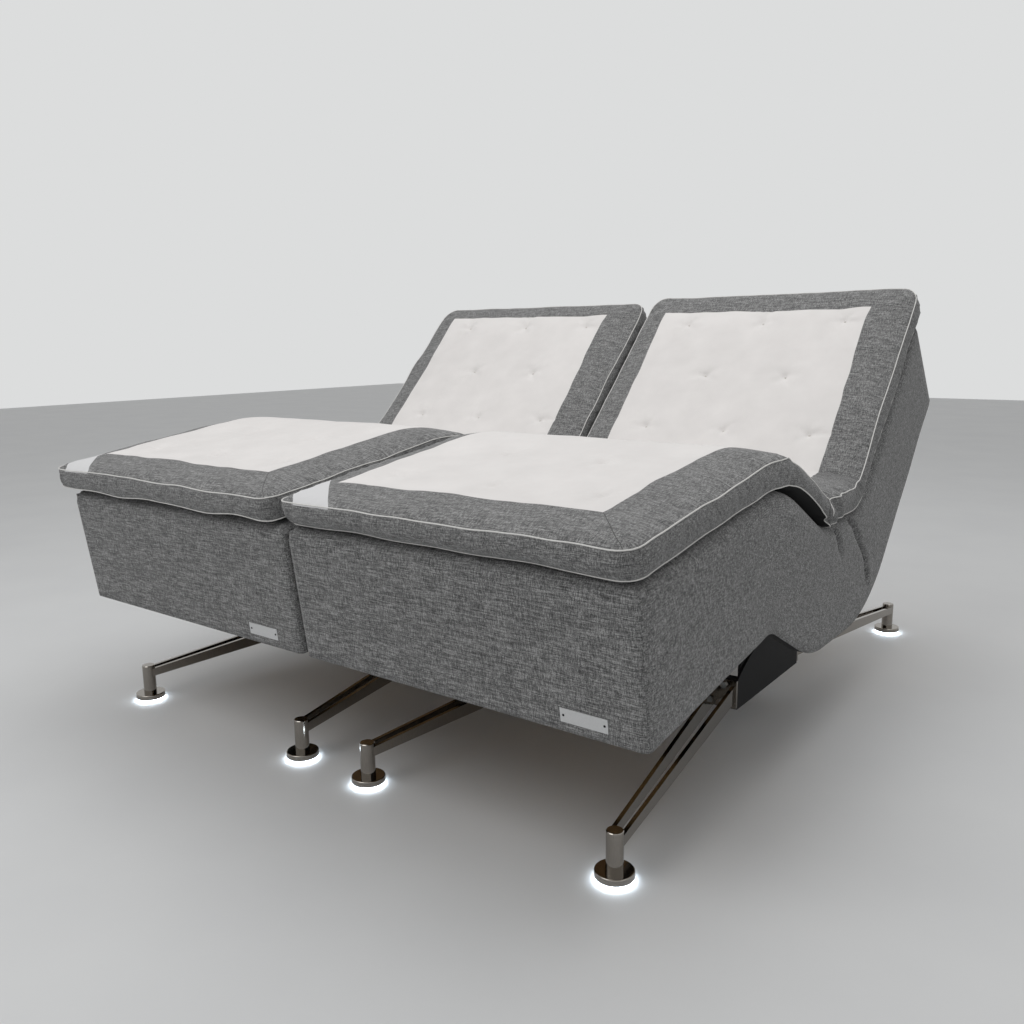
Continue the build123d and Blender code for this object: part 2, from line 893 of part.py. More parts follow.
with BuildPart() as control_boxes:
    for x in units.values():
        with BuildSketch(Plane.XY.offset(drive_z)) as footprint:
            with Locations((x + box_offset, chassis_middle)):
                Rectangle(box_width, box_length)
            fillet(footprint.vertices(), disc_edge)
        extrude(amount=box_height)
        with BuildSketch(Plane.XZ.offset(-chassis_middle - box_length / 2)):
            with Locations((x + box_offset, drive_z + box_height / 2)):
                Rectangle(inlet_width, inlet_height)
        extrude(amount=inlet_depth, mode=Mode.SUBTRACT)
save(control_boxes.part, "control_boxes")


# Legs: a round post on a lit foot, and two tapered bars back to a bracket on the chassis
feet_places = [
    (x + side * feet_track / 2, y)
    for x in units.values()
    for side in sides
    for y in (front_feet_y, rear_feet_y)
]

with BuildPart() as glide_pads:
    with BuildSketch():
        with Locations(*feet_places):
            Circle(glide_radius)
    extrude(amount=glide_height)
save(glide_pads.part, "glide_pads")

with BuildPart() as light_rings:
    with BuildSketch(Plane.XY.offset(ring_floor_gap)):
        with Locations(*feet_places):
            Circle(ring_outer_radius)
            Circle(ring_inner_radius, mode=Mode.SUBTRACT)
    extrude(amount=glide_height - ring_floor_gap)
save(light_rings.part, "light_rings")

with BuildPart() as foot_discs:
    with BuildSketch(Plane.XY.offset(disc_bottom)):
        with Locations(*feet_places):
            Circle(disc_radius)
    extrude(amount=disc_thickness)
    fillet(foot_discs.edges().group_by(Axis.Z)[-1], disc_edge)
save(foot_discs.part, "foot_discs")

with BuildPart() as leg_posts:
    with BuildSketch(Plane.XY.offset(post_bottom)):
        with Locations(*feet_places):
            Circle(post_radius)
    extrude(amount=post_height)
    chamfer(leg_posts.edges().group_by(Axis.Z)[-1], post_edge)
save(leg_posts.part, "leg_posts")

bar_top = post_top - bar_post_drop
with BuildPart() as leg_bars:
    for x in units.values():
        for side in sides:
            for end in (-1, 1):
                for offset in sides:
                    foot_y = front_feet_y if end < 0 else rear_feet_y
                    bracket_y = chassis_front if end < 0 else chassis_rear
                    start = Vector(x + side * feet_track / 2 + offset * bar_post_spacing / 2, foot_y, 0)
                    stop = Vector(x + side * bracket_x + offset * bar_bracket_spacing / 2, bracket_y, 0)
                    along = (stop - start).normalized()
                    length = (stop - start).length
                    upright = Plane(origin=start, x_dir=along, z_dir=along.cross(Vector(0, 0, 1)))
                    with BuildSketch(upright):
                        with BuildLine():
                            Polyline(
                                (0, bar_top - bar_post_height),
                                (0, bar_top),
                                (length, bracket_z + bar_bracket_height / 2),
                                (length, bracket_z - bar_bracket_height / 2),
                                close=True,
                            )
                        make_face()
                    extrude(amount=bar_thickness / 2, both=True)
    with BuildSketch(Plane.XY.offset(post_bottom)):
        with Locations(*feet_places):
            Circle(post_radius)
    extrude(amount=post_height, mode=Mode.SUBTRACT)
    with BuildSketch():
        with Locations((0, chassis_middle)):
            Rectangle(2 * unit_pitch, chassis_rear - chassis_front + 2 * bracket_thickness)
    extrude(amount=hinge_z, mode=Mode.SUBTRACT)
save(leg_bars.part, "leg_bars")

with BuildPart() as leg_brackets:
    for x, end in bracket_places:
        face = chassis_front if end < 0 else chassis_rear
        with BuildSketch(Plane(origin=(x, face, 0), x_dir=(1, 0, 0), z_dir=(0, end, 0))):
            with Locations((0, -end * bracket_z)):
                Rectangle(bracket_width, bracket_height)
            with Locations(*[(0, -end * z) for z in bolt_heights]):
                Circle(bolt_radius, mode=Mode.SUBTRACT)
        extrude(amount=bracket_thickness)
save(leg_brackets.part, "leg_brackets")

with BuildPart() as bracket_bolts:
    for x, end in bracket_places:
        face = chassis_front if end < 0 else chassis_rear
        outward = Plane(origin=(x, face, 0), x_dir=(1, 0, 0), z_dir=(0, end, 0))
        spots = [(0, -end * z) for z in bolt_heights]
        with BuildSketch(outward.offset(-beam_wall)):
            with Locations(*spots):
                Circle(bolt_radius)
        extrude(amount=beam_wall + bracket_thickness)
        with BuildSketch(outward.offset(bracket_thickness)):
            with Locations(*spots):
                RegularPolygon(bolt_head_radius, 6)
        extrude(amount=bolt_head_height)
save(bracket_bolts.part, "bracket_bolts")


# Flat bars that hold the two chassis together
with BuildPart() as joining_bars:
    for y in (chassis_middle - joining_bar_spacing / 2, chassis_middle + joining_bar_spacing / 2):
        half_gap = (unit_pitch - chassis_width) / 2
        with BuildSketch(Plane.YZ.offset(-half_gap)):
            with Locations((y, chassis_floor_gap + side_plate_end / 2)):
                Rectangle(joining_bar_thickness, joining_bar_height)
        extrude(amount=2 * half_gap)
save(joining_bars.part, "joining_bars")
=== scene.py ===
# %% [markdown]
# # A pair of adjustable beds
# Two equal bed units stand side by side. Each has a grey upholstered body on a black chassis, polished
# legs with lit feet, and a soft topper with a white tufted panel. The rigid pieces come from the CAD
# frame; here they get their finishes, and the soft pieces are made new over the plain solids.

# %% Load the frame
import json
from math import atan2, cos, exp, hypot, pi, radians, sin, tan
import bpy
import bmesh
from mathutils import Matrix, Vector, noise


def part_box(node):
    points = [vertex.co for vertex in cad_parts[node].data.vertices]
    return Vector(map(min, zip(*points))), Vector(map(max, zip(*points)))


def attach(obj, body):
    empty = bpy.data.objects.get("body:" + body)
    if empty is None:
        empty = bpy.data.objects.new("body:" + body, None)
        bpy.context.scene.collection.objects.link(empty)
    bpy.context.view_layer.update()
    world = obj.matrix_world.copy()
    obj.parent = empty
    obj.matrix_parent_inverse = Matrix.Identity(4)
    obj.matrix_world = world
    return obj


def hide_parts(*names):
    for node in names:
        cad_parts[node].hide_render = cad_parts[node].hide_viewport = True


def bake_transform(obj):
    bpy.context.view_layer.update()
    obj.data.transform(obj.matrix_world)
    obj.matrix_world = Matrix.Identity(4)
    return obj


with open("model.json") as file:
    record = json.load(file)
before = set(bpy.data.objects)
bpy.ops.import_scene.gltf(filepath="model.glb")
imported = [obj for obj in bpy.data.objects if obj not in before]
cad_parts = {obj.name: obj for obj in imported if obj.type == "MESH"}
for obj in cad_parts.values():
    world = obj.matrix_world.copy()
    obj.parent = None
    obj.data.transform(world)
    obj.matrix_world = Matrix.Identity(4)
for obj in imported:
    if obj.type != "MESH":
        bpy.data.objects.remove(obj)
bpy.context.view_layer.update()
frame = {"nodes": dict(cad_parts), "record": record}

nodes = frame["nodes"]
hinges = {j["name"]: j.get("pos_m") for j in frame["record"]["behaviour"]["joints"]}
units = {"left": -0.45, "right": 0.45}

# %% [markdown]
# ## The camera
# The photograph was taken standing off the right foot corner, a little below the top of the raised back.
# The place and the lens were solved from the feet on the floor, so they are written as numbers.

# %% Camera at the photograph's view
camera_place = (1.603, -2.2825, 1.025)
camera_turn, camera_tilt, camera_roll = 36.98, 10.64, -0.61
lens_data = bpy.data.cameras.new("camera")
lens_data.lens = 32.41
lens_data.sensor_width = 36
camera = bpy.data.objects.new("camera", lens_data)
bpy.context.scene.collection.objects.link(camera)
aim = Matrix.Rotation(radians(camera_turn), 4, "Z") @ Matrix.Rotation(radians(90 - camera_tilt), 4, "X")
level = Matrix.Rotation(radians(camera_roll), 4, "Z")
camera.matrix_world = Matrix.Translation(camera_place) @ aim @ level
bpy.context.scene.camera = camera
print("camera lens", lens_data.lens)

# %% [markdown]
# ## Small helpers for finishes
# Colours are written as they look on a screen and turned to linear light once. One function adds a node
# with its settings and links, so that each finish below reads as a short recipe.

# %% Colour and node helpers
def linear(hex_code):
    """An sRGB hex colour as linear RGBA."""
    parts = [int(hex_code[i : i + 2], 16) / 255 for i in (1, 3, 5)]
    return [p / 12.92 if p <= 0.04045 else ((p + 0.055) / 1.055) ** 2.4 for p in parts] + [1.0]


def add(tree, kind, inputs=None, **settings):
    """Adds one shader node, with its settings and with values or links on its inputs."""
    made = tree.nodes.new("ShaderNode" + kind)
    for name, value in settings.items():
        setattr(made, name, value)
    for name, value in (inputs or {}).items():
        if isinstance(value, bpy.types.NodeSocket):
            tree.links.new(value, made.inputs[name])
        else:
            made.inputs[name].default_value = value
    return made


def start_finish(name):
    """A new material with its node tree and its Principled shader."""
    finish = bpy.data.materials.new(name)
    finish.use_nodes = True
    return finish, finish.node_tree, finish.node_tree.nodes["Principled BSDF"]


def per_mm(size):
    """Noise scale, per metre, for a pattern of this size in millimetres."""
    return 1000 / size


# %% [markdown]
# ## Grey upholstery cloth
# The body and the border of the topper are a woven polyester of dark and light yarns, which the eye reads
# as a flecked grey. Real yarn is under 1 mm thick; it is drawn at 1.8 mm so that it shows from a step
# away. Stretched noise along each direction gives slubs that run with the thread, longest across. The
# flat, unbent place of each point is kept as an attribute, so the threads follow the cloth round a bend.
# The inside of the body, seen from below, has a black non-woven lining. The same black on the topper's
# underside is painted shade.

# %% Flecked weave shared by the cloth finishes
yarn = 1.8
slubs = (30, 9, 9)
fleck_dark, fleck_middle, fleck_light = 0.41, 0.5, 0.60


def flecked_weave(tree, dark, middle, light):
    """Colour and height of a melange weave on the unbent coordinates of the cloth."""
    flat = add(tree, "Attribute", attribute_name="flat")
    total = None
    for fine in ((1, 0, 1), (0, 1, 1), (1, 1, 0)):
        scale = [per_mm(yarn) if f else per_mm(slub) for f, slub in zip(fine, slubs)]
        placed = add(tree, "Mapping", {"Vector": flat.outputs["Vector"], "Scale": scale})
        threads = add(
            tree, "TexNoise", {"Vector": placed.outputs[0], "Scale": 1.0, "Detail": 2.0, "Roughness": 0.6}
        )
        if total is None:
            total = threads.outputs["Fac"]
        else:
            total = add(tree, "Math", {0: total, 1: threads.outputs["Fac"]}, operation="ADD").outputs[0]
    mean = add(tree, "Math", {0: total, 1: 1 / 3}, operation="MULTIPLY").outputs[0]
    ramp = add(tree, "ValToRGB", {"Fac": mean})
    stops = ramp.color_ramp.elements
    stops[0].position, stops[0].color = fleck_dark, linear(dark)
    stops[1].position, stops[1].color = fleck_light, linear(light)
    stops.new(fleck_middle).color = linear(middle)
    return flat.outputs["Vector"], ramp.outputs["Color"], mean


upholstery, tree, shader = start_finish("woven_polyester_grey_melange")
flat, colour, height = flecked_weave(tree, "#434343", "#717171", "#aaaaa9")
relief = add(tree, "Bump", {"Height": height, "Strength": 0.35, "Distance": 0.0015})
tree.links.new(colour, shader.inputs["Base Color"])
tree.links.new(relief.outputs[0], shader.inputs["Normal"])
shader.inputs["Roughness"].default_value = 0.92
shader.inputs["Specular IOR Level"].default_value = 0.25
shader.inputs["Sheen Weight"].default_value = 0.15

# The black lining also covers the topper's underside, where it is painted shade for the shadow under the
# topper.
lining_and_painted_shade, tree, shader = start_finish("non_woven_black_lining_and_painted_shade")
where = add(tree, "TexCoord").outputs["Object"]
fibres = add(tree, "TexNoise", {"Vector": where, "Scale": per_mm(4), "Detail": 3.0}).outputs["Fac"]
tone = add(tree, "Mix", {"Factor": fibres, "A": linear("#111112"), "B": linear("#1f1f20")}, data_type="RGBA")
tree.links.new(tone.outputs["Result"], shader.inputs["Base Color"])
shader.inputs["Roughness"].default_value = 0.95
print("made", upholstery.name, lining_and_painted_shade.name)

# %% [markdown]
# ## Topper cloth
# The topper's cover is sewn from a white knitted panel, a border of the grey cloth with mitred corners,
# and a blank white satin band across one foot corner. Cutting the mesh along those seams would fix them
# to its grid, so the finish draws them from the unbent coordinates instead, which keeps them crisp.

# %% Topper sizes, in metres along the unbent bed, from the hip
foot_end, head_end = -0.926, 1.175
topper_half = 0.447
panel_half, panel_middle = 0.342, -0.021
panel_foot, panel_head = -0.812, 1.100
panel_pull, pull_at, pull_reach = 0.017, 0.5, 0.6
band_near, band_far = 0.060, 0.172
top_level = 0.218
seam_drift, seam_edge = 0.022, 0.0008
knit_size = 3.0
print("topper", head_end - foot_end, "long and", 2 * topper_half, "wide")

# %% Where the white panel lies
topper_cloth, tree, shader = start_finish("sewn_topper_cover_knit_and_weave")
flat, grey, height = flecked_weave(tree, "#4b4b4b", "#747474", "#a5a5a4")
wander = add(tree, "TexNoise", {"Vector": flat, "Scale": per_mm(160), "Detail": 1.0}).outputs["Fac"]
centred = add(tree, "Math", {0: wander, 1: 0.5}, operation="SUBTRACT").outputs[0]
drift = add(tree, "Math", {0: centred, 1: seam_drift}, operation="MULTIPLY").outputs[0]
place = add(tree, "SeparateXYZ", {"Vector": flat})
from_seat = add(tree, "Math", {0: place.outputs["Y"], 1: pull_at}, operation="SUBTRACT").outputs[0]
from_seat = add(tree, "Math", {0: from_seat}, operation="ABSOLUTE").outputs[0]
pull_range = {"Value": from_seat, "From Max": pull_reach, "To Min": panel_pull, "To Max": 0.0}
pulled = add(tree, "MapRange", pull_range, interpolation_type="SMOOTHSTEP").outputs[0]
middle = add(tree, "Math", {0: pulled, 1: panel_middle}, operation="ADD").outputs[0]
across = add(tree, "Math", {0: place.outputs["X"], 1: middle}, operation="SUBTRACT").outputs[0]
across = add(tree, "Math", {0: across}, operation="ABSOLUTE").outputs[0]
across = add(tree, "Math", {0: across, 1: drift}, operation="ADD").outputs[0]
along = add(tree, "Math", {0: place.outputs["Y"], 1: drift}, operation="ADD").outputs[0]
past_side = add(tree, "Math", {0: across, 1: panel_half}, operation="SUBTRACT").outputs[0]
past_foot = add(tree, "Math", {0: panel_foot, 1: along}, operation="SUBTRACT").outputs[0]
past_head = add(tree, "Math", {0: along, 1: panel_head}, operation="SUBTRACT").outputs[0]
past_end = add(tree, "Math", {0: past_foot, 1: past_head}, operation="MAXIMUM").outputs[0]
past_seam = add(tree, "Math", {0: past_side, 1: past_end}, operation="MAXIMUM").outputs[0]
panel = add(tree, "MapRange", {"Value": past_seam, "From Min": seam_edge, "From Max": -seam_edge}).outputs[0]
print("panel drawn from", panel_foot, "to", panel_head)

# %% The satin band across the foot corner
from_left = add(tree, "Math", {0: place.outputs["X"], 1: topper_half}, operation="ADD").outputs[0]
from_foot = add(tree, "Math", {0: place.outputs["Y"], 1: foot_end}, operation="SUBTRACT").outputs[0]
corner = add(tree, "Math", {0: from_left, 1: from_foot}, operation="ADD").outputs[0]
far_range = {"Value": corner, "From Min": band_far + seam_edge, "From Max": band_far - seam_edge}
inside_far = add(tree, "MapRange", far_range).outputs[0]
near_range = {"Value": corner, "From Min": band_near + seam_edge, "From Max": band_near - seam_edge}
inside_near = add(tree, "MapRange", near_range).outputs[0]
band = add(tree, "Math", {0: inside_far, 1: inside_near}, operation="SUBTRACT").outputs[0]
on_top = add(tree, "Math", {0: place.outputs["Z"], 1: top_level}, operation="GREATER_THAN").outputs[0]
band = add(tree, "Math", {0: band, 1: on_top}, operation="MULTIPLY").outputs[0]
panel = add(tree, "Math", {0: panel, 1: on_top}, operation="MULTIPLY").outputs[0]
print("band", round(band_far - band_near, 3), "wide along the edge")

# %% The knit and the mitre seam
knit_place = add(tree, "Mapping", {"Vector": flat, "Scale": (per_mm(knit_size), per_mm(knit_size), 1.0)})
knit_waves = {"Vector": knit_place.outputs[0], "Scale": 1.0, "Distortion": 1.5}
knit = add(tree, "TexWave", knit_waves, bands_direction="DIAGONAL")
cloud = add(tree, "TexNoise", {"Vector": flat, "Scale": per_mm(90), "Detail": 3.0}).outputs["Fac"]
white = add(tree, "Mix", {"Factor": cloud, "A": linear("#dddad8"), "B": linear("#eeebe9")}, data_type="RGBA")
side_share = add(tree, "Math", {0: past_side, 1: topper_half - panel_half}, operation="DIVIDE").outputs[0]
foot_share = add(tree, "Math", {0: past_foot, 1: panel_foot - foot_end}, operation="DIVIDE").outputs[0]
mitre = add(tree, "Math", {0: side_share, 1: foot_share}, operation="SUBTRACT").outputs[0]
mitre = add(tree, "Math", {0: mitre}, operation="ABSOLUTE").outputs[0]
on_mitre = add(tree, "MapRange", {"Value": mitre, "From Min": 0.014, "From Max": 0.004}).outputs[0]
at_foot = add(tree, "Math", {0: past_foot, 1: 0.0}, operation="GREATER_THAN").outputs[0]
seam = add(tree, "Math", {0: on_mitre, 1: at_foot}, operation="MULTIPLY").outputs[0]
seam = add(tree, "Math", {0: seam, 1: on_top}, operation="MULTIPLY").outputs[0]
print("knit rows of", knit_size, "mm")

# %% The whole cover
sewn = add(tree, "Mix", {"Factor": seam, "A": grey, "B": linear("#474645")}, data_type="RGBA")
sewn_and_white = {"Factor": panel, "A": sewn.outputs["Result"], "B": white.outputs["Result"]}
cover = add(tree, "Mix", sewn_and_white, data_type="RGBA")
with_satin = {"Factor": band, "A": cover.outputs["Result"], "B": linear("#d8d8d9")}
cover = add(tree, "Mix", with_satin, data_type="RGBA")
knit_height = add(tree, "Math", {0: knit.outputs["Fac"], 1: 0.25}, operation="MULTIPLY").outputs[0]
cloth_height = add(tree, "Mix", {"Factor": panel, "A": height, "B": knit_height}, data_type="FLOAT")
sunk = add(tree, "Math", {0: panel, 1: -0.9}, operation="MULTIPLY").outputs[0]
step = add(tree, "Math", {0: cloth_height.outputs["Result"], 1: sunk}, operation="ADD").outputs[0]
relief = add(tree, "Bump", {"Height": step, "Strength": 0.35, "Distance": 0.0015})
tree.links.new(cover.outputs["Result"], shader.inputs["Base Color"])
tree.links.new(relief.outputs[0], shader.inputs["Normal"])
shader.inputs["Roughness"].default_value = 0.9
shader.inputs["Specular IOR Level"].default_value = 0.25
shader.inputs["Sheen Weight"].default_value = 0.12

print("made", topper_cloth.name)

# %% Piping and tuft thread
piping_cloth, tree, shader = start_finish("bias_cut_cotton_piping")
where = add(tree, "TexCoord").outputs["Object"]
twist = add(tree, "TexNoise", {"Vector": where, "Scale": per_mm(3), "Detail": 2.0}).outputs["Fac"]
tone = add(tree, "Mix", {"Factor": twist, "A": linear("#c6c5c2"), "B": linear("#efeeeb")}, data_type="RGBA")
tree.links.new(tone.outputs["Result"], shader.inputs["Base Color"])
shader.inputs["Roughness"].default_value = 0.8

tuft_thread, tree, shader = start_finish("twisted_polyester_tuft_thread")
where = add(tree, "TexCoord").outputs["Object"]
twist = add(tree, "TexNoise", {"Vector": where, "Scale": per_mm(2), "Detail": 2.0}).outputs["Fac"]
tone = add(tree, "Mix", {"Factor": twist, "A": linear("#c2beb9"), "B": linear("#dbd7d2")}, data_type="RGBA")
tree.links.new(tone.outputs["Result"], shader.inputs["Base Color"])
shader.inputs["Roughness"].default_value = 0.85
print("made", piping_cloth.name, tuft_thread.name)

# %% [markdown]
# ## Laying flat cloth along the bent bed
# Each soft piece is modelled flat, as it lies on a level bed, and then bent. The bed is a line with three
# corners, at the knee, the hip and the back. Each corner is rounded into an arc, because springs and foam
# bend in a curve, and a point keeps its height above that line. Away from the corners this is the same
# place that the CAD sections have.

# %% Bend of the bed
knee_s, back_s = -0.310, 0.360
thigh_split, seat_split = -0.155, 0.120
slopes = {"foot": radians(8), "thigh": radians(-27), "seat": 0.0, "back": radians(45)}
corners = {
    "knee": (Vector(hinges["left_knee_hinge"][1:]), "foot", "thigh", 0.075, knee_s),
    "hip": (Vector(hinges["left_thigh_hinge"][1:]), "thigh", "seat", 0.060, 0.0),
    "back": (Vector(hinges["left_back_hinge"][1:]), "seat", "back", 0.120, back_s),
}


def laid(s, height):
    """Where a point s along the flat bed and this high above its middle line comes to lie, as (y, z)."""
    corner = "knee" if s < thigh_split else "hip" if s < seat_split else "back"
    place, before, after, reach, at = corners[corner]
    first, last = slopes[before], slopes[after]
    past = s - at
    angle = first + (last - first) * min(max((past + reach) / (2 * reach), 0), 1)
    if abs(past) >= reach:
        line = Vector((past * cos(angle), past * sin(angle)))
    else:
        radius = reach / tan((last - first) / 2)
        line = Vector((-reach * cos(first), -reach * sin(first)))
        line += radius * Vector((sin(angle) - sin(first), cos(first) - cos(angle)))
    return place + line + height * Vector((-sin(angle), cos(angle)))


for end_name, end_s in (("foot end", foot_end), ("head end", head_end)):
    print(end_name, [round(c, 3) for c in laid(end_s, top_level)])

# %% [markdown]
# ## A block with an even grid
# A box with its edges divided evenly is the start of both soft pieces: even squares bend and swell alike
# everywhere. The operators make the box and cut it; the corners are then rounded by moving points.

# %% Even block
def even_block(half_width, low, high, bottom, top, step, layers):
    """A box cut into an even grid."""
    bm = bmesh.new()
    bmesh.ops.create_cube(bm, size=1)
    size = Vector((2 * half_width, high - low, top - bottom))
    bmesh.ops.scale(bm, vec=size, verts=bm.verts)
    bmesh.ops.translate(bm, vec=(0, (low + high) / 2, (bottom + top) / 2), verts=bm.verts)
    for axis, cuts in ((1, round(size.y / step)), (0, round(size.x / step)), (2, layers)):
        along = [e for e in bm.edges if abs(e.verts[0].co[axis] - e.verts[1].co[axis]) > 1e-6]
        bmesh.ops.subdivide_edges(bm, edges=along, cuts=cuts, use_grid_fill=True)
    return bm


def round_off(a, b, radius):
    """Moves a point of a square corner, given as distances in from its two sides, on to a rounded corner."""
    u, v = max(radius - a, 0), max(radius - b, 0)
    if u == 0 or v == 0:
        return a, b
    pull = max(u, v) / hypot(u, v)
    return radius - u * pull, radius - v * pull


# %% [markdown]
# ## The pieces of a bent cover
# A cover crosses three hinges, and a piece can bend across one. So each cover is cut at the middle of the
# thigh and on the seat, and each length is laid along the bed. The cuts fall where neither joint moves
# the cloth.

# %% Cut, lay and hang a cover
far_off = 2.0
spans = {
    "foot": (-far_off, thigh_split, "knee", "{u}_foot", "{u}_thigh", 0.095),
    "middle": (thigh_split, seat_split, "hip", "{u}_thigh", "chassis", 0.058),
    "back": (seat_split, far_off, "back", "chassis", "{u}_back", 0.125),
}


def hang(piece, unit, span):
    """Looks up the two bodies on either side of a piece's corner, and bakes the piece's place into its mesh.
    """
    _, _, corner, first, second, reach = spans[span]
    first, second = first.format(u=unit), second.format(u=unit)
    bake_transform(piece)


def cut_length(source, span):
    """A capped copy of the part of a flat cover that lies in one span."""
    low, high = spans[span][:2]
    bm = source.copy()
    for s, keep_above in ((low, True), (high, False)):
        if abs(s) < far_off:
            everything = bm.verts[:] + bm.edges[:] + bm.faces[:]
            cut = bmesh.ops.bisect_plane(
                bm,
                geom=everything,
                plane_co=(0, s, 0),
                plane_no=(0, 1, 0),
                clear_inner=keep_above,
                clear_outer=not keep_above,
            )
            rim = [g for g in cut["geom_cut"] if isinstance(g, bmesh.types.BMEdge)]
            for edge in rim:
                edge.smooth = False
            bmesh.ops.holes_fill(bm, edges=rim, sides=0)
    return bm


def lay_down(bm, x_middle):
    """Bends a flat mesh along the bed and moves it to its unit."""
    for vert in bm.verts:
        y, z = laid(vert.co.y, vert.co.z)
        vert.co = (x_middle + vert.co.x, y, z)
    bmesh.ops.recalc_face_normals(bm, faces=bm.faces)


def finish_piece(bm, name, finishes, smooth=True):
    """Turns a bmesh into a piece object at the origin."""
    mesh = bpy.data.meshes.new(name)
    for face in bm.faces:
        face.smooth = smooth
    bm.to_mesh(mesh)
    bm.free()
    for finish in finishes:
        mesh.materials.append(finish)
    piece = bpy.data.objects.new(name, mesh)
    bpy.context.scene.collection.objects.link(piece)
    return piece


# %% [markdown]
# ## The upholstered body
# The real body is a spring core on a deck, with boards that hang round it, all under one pulled cover.
# It is an upside-down tray: a solid block above the deck and walls below it. The block is drawn first,
# its underside is cut and pushed up to leave the walls, and the cover then swells a little over the
# padding. At each side of the seat it has a short crease and a long one that curls down behind it, where
# the bent cloth has nowhere to go.

# %% Body block, with cuts for the walls and the creases
body_half, body_foot, body_head = 0.444, -0.910, 1.105
body_rise = 0.156
wall, deck_gap = 0.022, 0.0003
body_step, body_layers = 0.016, 18
crease_from, crease_to = 0.08, 0.44
body = even_block(body_half, body_foot, body_head, -body_rise, body_rise, body_step, body_layers)
wall_cuts = [((x, 0, 0), (1, 0, 0)) for x in (body_half - wall, wall - body_half)]
wall_cuts += [((0, s, 0), (0, 1, 0)) for s in (body_foot + wall, body_head - wall)]
for point, normal in wall_cuts:
    everything = body.verts[:] + body.edges[:] + body.faces[:]
    bmesh.ops.bisect_plane(body, geom=everything, plane_co=point, plane_no=normal)
lengthwise = [e for e in body.edges if abs(e.verts[0].co.y - e.verts[1].co.y) > 1e-6]
creased = [e for e in lengthwise if all(crease_from < v.co.y < crease_to for v in e.verts)]
bmesh.ops.subdivide_edges(body, edges=creased, cuts=2, use_grid_fill=True)
flat_layer = body.verts.layers.float_vector.new("flat")
for vert in body.verts:
    vert[flat_layer] = vert.co
print("body faces", len(body.faces))


# %% Walls round the open underside
def within_walls(face):
    """Whether a face is on the underside and inside the walls."""
    middle = face.calc_center_median()
    inside = abs(middle.x) < body_half - wall and body_foot + wall < middle.y < body_head - wall
    return inside and face.normal.z < -0.9


body.normal_update()
under = [f for f in body.faces if within_walls(f)]
raised = bmesh.ops.extrude_face_region(body, geom=under)
inner = {g for g in raised["geom"] if isinstance(g, bmesh.types.BMVert)}
bmesh.ops.translate(body, vec=(0, 0, body_rise + deck_gap), verts=list(inner))
bmesh.ops.delete(body, geom=under, context="FACES")
low_rim, high_rim = -body_rise + 0.001, body_rise - 0.001
for face in body.faces:
    if any(v in inner for v in face.verts) or all(v.co.z < low_rim for v in face.verts):
        face.material_index = 1
print("lined faces", sum(f.material_index for f in body.faces))

# %% Padding and creases of the body
padding, unevenness, patches_per_metre = 0.002, 0.0015, 7
crease_width = 0.009
short_depth, long_depth = 0.020, 0.026
long_curl = 4.7


def short_crease(s, z):
    """How deep the short crease is at a point of the side, from 0 to 1."""
    fade = min(max((z - 0.045) / 0.05, 0), 1)
    return exp(-(((s - 0.205 + 0.675 * z) / crease_width) ** 2)) * fade


def long_crease(s, z):
    """How deep the long crease is; its line curls towards the foot end the higher it is."""
    rise = max(z + 0.03, 0)
    slant = hypot(1, 2 * long_curl * rise)
    fade = min(max((z + 0.12) / 0.06, 0), 1)
    return exp(-(((s - 0.376 + long_curl * rise**2) / slant / crease_width) ** 2)) * fade


for vert in body.verts:
    x, s, z = vert.co
    if vert in inner or z > high_rim:
        continue
    side, end = body_half - abs(x), min(s - body_foot, body_head - s)
    upright = max(0.0, 1 - (z / body_rise) ** 4)
    uneven = noise.noise(Vector((x * patches_per_metre, s * patches_per_metre, z * patches_per_metre)))
    swell = padding * upright + unevenness * uneven
    if side < 1e-4:
        pressed = short_depth * short_crease(s, z) + long_depth * long_crease(s, z)
        vert.co.x += (swell - pressed) * (1 if x > 0 else -1)
    if end < 1e-4 and s > 0:
        vert.co.y += swell
print("creases", short_depth, "and", long_depth, "deep")

# %% Round the body's corners and upper edge
corner_reach, corner_radius = 0.03, 0.014
shoulder_radius, head_sharper = 0.034, 0.018
sharper_from, sharper_over = 0.90, 0.15
for vert in body.verts:
    if vert in inner:
        continue
    x, s, z = vert.co
    side, end = body_half - abs(x), min(s - body_foot, body_head - s)
    if side < corner_reach and end < corner_reach:
        new_side, new_end = round_off(max(side, 0), max(end, 0), corner_radius)
        vert.co.x += (side - new_side) * (1 if x > 0 else -1)
        vert.co.y += (new_end - end) * (1 if s < 0 else -1)
    inset = min(body_half - abs(vert.co.x), vert.co.y - body_foot, body_head - vert.co.y)
    gap = body_rise - z
    shoulder = shoulder_radius - head_sharper * min(max((vert.co.y - sharper_from) / sharper_over, 0), 1)
    new_inset, new_gap = round_off(max(inset, 0), max(gap, 0), shoulder)
    vert.co.z -= new_gap - max(gap, 0)
    shift = new_inset - max(inset, 0)
    if body_half - abs(vert.co.x) <= inset + 1e-6:
        vert.co.x -= shift * (1 if x > 0 else -1)
    else:
        vert.co.y += shift * (1 if s < 0 else -1)
print("shoulder radius", shoulder_radius, "and at the head", round(shoulder_radius - head_sharper, 3))

# %% Body pieces of both units
covers = {
    "foot": ("{u}_foot_core", "{u}_foot_side_panels"),
    "middle": ("{u}_thigh_core", "{u}_thigh_side_panels", "seat_cores", "seat_side_panels"),
    "back": ("{u}_back_core", "{u}_back_side_panels"),
}
for unit, x_middle in units.items():
    for span, solids in covers.items():
        length = cut_length(body, span)
        lay_down(length, x_middle)
        piece = finish_piece(length, f"{unit}_body_{span}", [upholstery, lining_and_painted_shade])
        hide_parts(*[n.format(u=unit) for n in solids])
        hang(piece, unit, span)
        print(piece.name, len(piece.data.polygons), "faces")
body.free()

